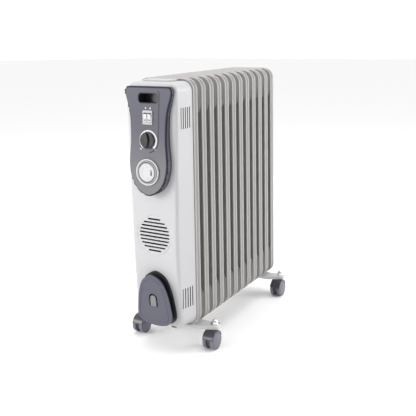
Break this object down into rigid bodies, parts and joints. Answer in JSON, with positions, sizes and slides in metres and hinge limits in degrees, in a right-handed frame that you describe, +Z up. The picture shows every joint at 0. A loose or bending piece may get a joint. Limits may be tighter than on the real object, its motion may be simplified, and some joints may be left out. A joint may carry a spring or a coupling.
{
  "type": "oil filled radiator heater",
  "caption": "Free-standing oil filled radiator on castors, with steel fins and a front control casing holding switches, thermostat, timer, fan grille and cord winder.",
  "frame": {"origin": "floor level, under the middle of the heater's length and width", "axes": "+X to the heater's right as seen from the controls, -Y to the front (the control casing), +Z up"},
  "size_m": [0.24, 0.54, 0.67],
  "materials": {
    "fin_paint": "satin",
    "casing": "satin",
    "panel": "satin",
    "recess": "satin",
    "rocker": "gloss",
    "knob": "satin",
    "timer_ring": "satin",
    "dial": "satin",
    "inner_plastic": "satin",
    "heater_block": "satin",
    "winder": "satin",
    "winder_flange": "satin",
    "gland": "matte",
    "pendulum": "satin",
    "bracket_paint": "satin",
    "steel": "brushed",
    "cap_nut": "polished",
    "castor_hood": "gloss",
    "castor_wheel": "satin"
  },
  "bodies": {
    "heater": {"fin_01": "fin_paint", "fin_02": "fin_paint", "fin_03": "fin_paint", "fin_04": "fin_paint", "fin_05": "fin_paint", "fin_06": "fin_paint", "fin_07": "fin_paint", "fin_08": "fin_paint", "fin_09": "fin_paint", "fin_10": "fin_paint", "fin_11": "fin_paint", "fin_12": "fin_paint", "filler_plug": "fin_paint", "heating_element": "steel", "control_casing": "casing", "back_plate": "steel", "top_plate": "casing", "control_panel": "panel", "handle_pocket": "recess", "switch_housing": "recess", "thermostat_body": "inner_plastic", "timer_body": "inner_plastic", "timer_bezel": "timer_ring", "fan_grille": "casing", "ptc_heater": "heater_block", "fan_motor": "steel", "winder_flange": "winder_flange", "winder_plate": "winder", "cord_clip": "winder", "cord_gland": "gland", "tip_switch": "inner_plastic", "bracket_front": "bracket_paint", "bracket_rear": "bracket_paint", "u_bolts": "steel", "wing_nuts": "steel", "castor_stems": "steel", "cap_nuts": "cap_nut"},
    "rocker_left": {"rocker_left": "rocker"},
    "rocker_right": {"rocker_right": "rocker"},
    "thermostat_knob": {"thermostat_knob": "knob"},
    "timer_dial": {"timer_dial": "dial"},
    "timer_lever": {"timer_lever": "recess"},
    "fan": {"fan_impeller": "inner_plastic"},
    "pendulum": {"tip_pendulum": "pendulum"},
    "castor_front_left": {"castor_hood_front_left": "castor_hood", "castor_axle_front_left": "steel"},
    "wheel_front_left_left": {"wheel_front_left_left": "castor_wheel"},
    "wheel_front_left_right": {"wheel_front_left_right": "castor_wheel"},
    "castor_front_right": {"castor_hood_front_right": "castor_hood", "castor_axle_front_right": "steel"},
    "wheel_front_right_left": {"wheel_front_right_left": "castor_wheel"},
    "wheel_front_right_right": {"wheel_front_right_right": "castor_wheel"},
    "castor_rear_left": {"castor_hood_rear_left": "castor_hood", "castor_axle_rear_left": "steel"},
    "wheel_rear_left_left": {"wheel_rear_left_left": "castor_wheel"},
    "wheel_rear_left_right": {"wheel_rear_left_right": "castor_wheel"},
    "castor_rear_right": {"castor_hood_rear_right": "castor_hood", "castor_axle_rear_right": "steel"},
    "wheel_rear_right_left": {"wheel_rear_right_left": "castor_wheel"},
    "wheel_rear_right_right": {"wheel_rear_right_right": "castor_wheel"}
  },
  "joints": [
    {"name": "rocker_left_tilt", "type": "hinge", "parent": "heater", "child": "rocker_left", "pos_m": [-0.00575, -0.2528, 0.58281], "axis": [-1, 0, 0], "range_deg": [0, 14]},
    {"name": "rocker_right_tilt", "type": "hinge", "parent": "heater", "child": "rocker_right", "pos_m": [0.00575, -0.2528, 0.58281], "axis": [-1, 0, 0], "range_deg": [0, 14]},
    {"name": "thermostat_turn", "type": "hinge", "parent": "heater", "child": "thermostat_knob", "pos_m": [0, -0.25927, 0.53], "axis": [0, 0.9989, -0.0466], "range_deg": [0, 270]},
    {"name": "timer_turn", "type": "hinge", "parent": "heater", "child": "timer_dial", "pos_m": [0, -0.26277, 0.455], "axis": [0, 0.9989, -0.0466], "continuous": true},
    {"name": "timer_lever_slide", "type": "slide", "parent": "timer_dial", "child": "timer_lever", "axis": [0, 0.0466, 0.9989], "range_m": [0, 0.004]},
    {"name": "fan_spin", "type": "hinge", "parent": "heater", "child": "fan", "pos_m": [0, -0.22143, 0.298], "axis": [0, 1, 0], "continuous": true},
    {"name": "tip_swing", "type": "hinge", "parent": "heater", "child": "pendulum", "pos_m": [-0.024, -0.21268, 0.094], "axis": [0, 1, 0], "range_deg": [-25, 25]},
    {"name": "castor_swivel_front_left", "type": "hinge", "parent": "heater", "child": "castor_front_left", "pos_m": [-0.105, -0.14182, 0.0225], "axis": [0, 0, 1], "continuous": true},
    {"name": "wheel_front_left_left_spin", "type": "hinge", "parent": "castor_front_left", "child": "wheel_front_left_left", "pos_m": [-0.105, -0.15882, 0.0225], "axis": [1, 0, 0], "continuous": true},
    {"name": "wheel_front_left_right_spin", "type": "hinge", "parent": "castor_front_left", "child": "wheel_front_left_right", "pos_m": [-0.105, -0.15882, 0.0225], "axis": [1, 0, 0], "continuous": true},
    {"name": "castor_swivel_front_right", "type": "hinge", "parent": "heater", "child": "castor_front_right", "pos_m": [0.105, -0.14182, 0.0225], "axis": [0, 0, 1], "continuous": true},
    {"name": "wheel_front_right_left_spin", "type": "hinge", "parent": "castor_front_right", "child": "wheel_front_right_left", "pos_m": [0.105, -0.15882, 0.0225], "axis": [1, 0, 0], "continuous": true},
    {"name": "wheel_front_right_right_spin", "type": "hinge", "parent": "castor_front_right", "child": "wheel_front_right_right", "pos_m": [0.105, -0.15882, 0.0225], "axis": [1, 0, 0], "continuous": true},
    {"name": "castor_swivel_rear_left", "type": "hinge", "parent": "heater", "child": "castor_rear_left", "pos_m": [-0.105, 0.25639, 0.0225], "axis": [0, 0, 1], "continuous": true},
    {"name": "wheel_rear_left_left_spin", "type": "hinge", "parent": "castor_rear_left", "child": "wheel_rear_left_left", "pos_m": [-0.105, 0.23939, 0.0225], "axis": [1, 0, 0], "continuous": true},
    {"name": "wheel_rear_left_right_spin", "type": "hinge", "parent": "castor_rear_left", "child": "wheel_rear_left_right", "pos_m": [-0.105, 0.23939, 0.0225], "axis": [1, 0, 0], "continuous": true},
    {"name": "castor_swivel_rear_right", "type": "hinge", "parent": "heater", "child": "castor_rear_right", "pos_m": [0.105, 0.25639, 0.0225], "axis": [0, 0, 1], "continuous": true},
    {"name": "wheel_rear_right_left_spin", "type": "hinge", "parent": "castor_rear_right", "child": "wheel_rear_right_left", "pos_m": [0.105, 0.23939, 0.0225], "axis": [1, 0, 0], "continuous": true},
    {"name": "wheel_rear_right_right_spin", "type": "hinge", "parent": "castor_rear_right", "child": "wheel_rear_right_right", "pos_m": [0.105, 0.23939, 0.0225], "axis": [1, 0, 0], "continuous": true}
  ]
}
